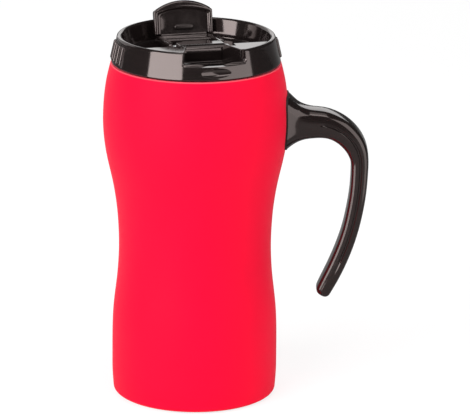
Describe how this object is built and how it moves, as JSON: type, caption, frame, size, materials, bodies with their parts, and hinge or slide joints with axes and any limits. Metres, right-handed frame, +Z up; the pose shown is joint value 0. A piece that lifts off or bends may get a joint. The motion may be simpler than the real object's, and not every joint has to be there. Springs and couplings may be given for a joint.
{
  "type": "insulated travel mug",
  "caption": "Double-walled travel mug with a waisted soft-touch shell, open hook handle and screw-on drinking lid whose cap swings over the spout and locks shut.",
  "frame": {"origin": "centre of the round body on the flat resting plane", "axes": "+Z up along the body axis, +X towards the handle; the drinking notch faces 76 degrees clockwise from +X seen from above"},
  "size_m": [0.1265, 0.0882, 0.187],
  "materials": {
    "soft_touch_shell": "soft-touch matte paint",
    "steel_liner": "satin drawn stainless steel",
    "black_satin": "as moulded",
    "silicone": "translucent silicone",
    "foam": "closed-cell foam",
    "grey_plastic": "as moulded",
    "steel_hardware": "bright zinc plate",
    "black_rubber": "matte",
    "black_gloss": "polished moulded plastic",
    "steel_plate": "stamped"
  },
  "bodies": {
    "mug": {"outer_shell": "soft_touch_shell", "inner_liner": "steel_liner", "neck_ring": "black_satin", "neck_seal": "silicone", "liner_support_pad": "foam", "base_plate": "grey_plastic", "base_seal": "silicone", "base_screws": "steel_hardware", "base_pad": "black_rubber", "handle": "black_gloss", "handle_foot_pad": "black_rubber", "handle_backing_plate": "steel_plate", "handle_screws": "steel_hardware"},
    "seal": {"lid_seal": "silicone"},
    "lid": {"lid_body": "black_gloss", "lid_plug": "black_satin"},
    "swing": {"swing_arm": "black_gloss", "swing_pin": "steel_hardware", "cap_pin": "steel_hardware"},
    "cap": {"flip_cap": "black_gloss", "cap_stopper": "black_rubber"}
  },
  "joints": [
    {"name": "lid_lift", "type": "slide", "parent": "mug", "child": "seal", "axis": [0, 0, 1], "range_m": [0, 0.024]},
    {"name": "lid_turn", "type": "hinge", "parent": "seal", "child": "lid", "pos_m": [0, 0, 0.1649], "axis": [0, 0, 1], "range_deg": [0, 720]},
    {"name": "swing_arm_turn", "type": "hinge", "parent": "lid", "child": "swing", "pos_m": [-0.00014, 0.00053, 0.17071], "axis": [0.9694, 0.2453, 0], "range_deg": [0, 166]},
    {"name": "cap_tilt", "type": "hinge", "parent": "swing", "child": "cap", "pos_m": [-0.00589, 0.02327, 0.16905], "axis": [0.9694, 0.2453, 0], "range_deg": [-64.05, 0]}
  ],
  "couplings": [
    {"joint": "lid_lift", "follows": "lid_turn", "m_per_rad": 0.0019099},
    {"joint": "cap_tilt", "follows": "swing_arm_turn", "ratio": -0.38554}
  ]
}
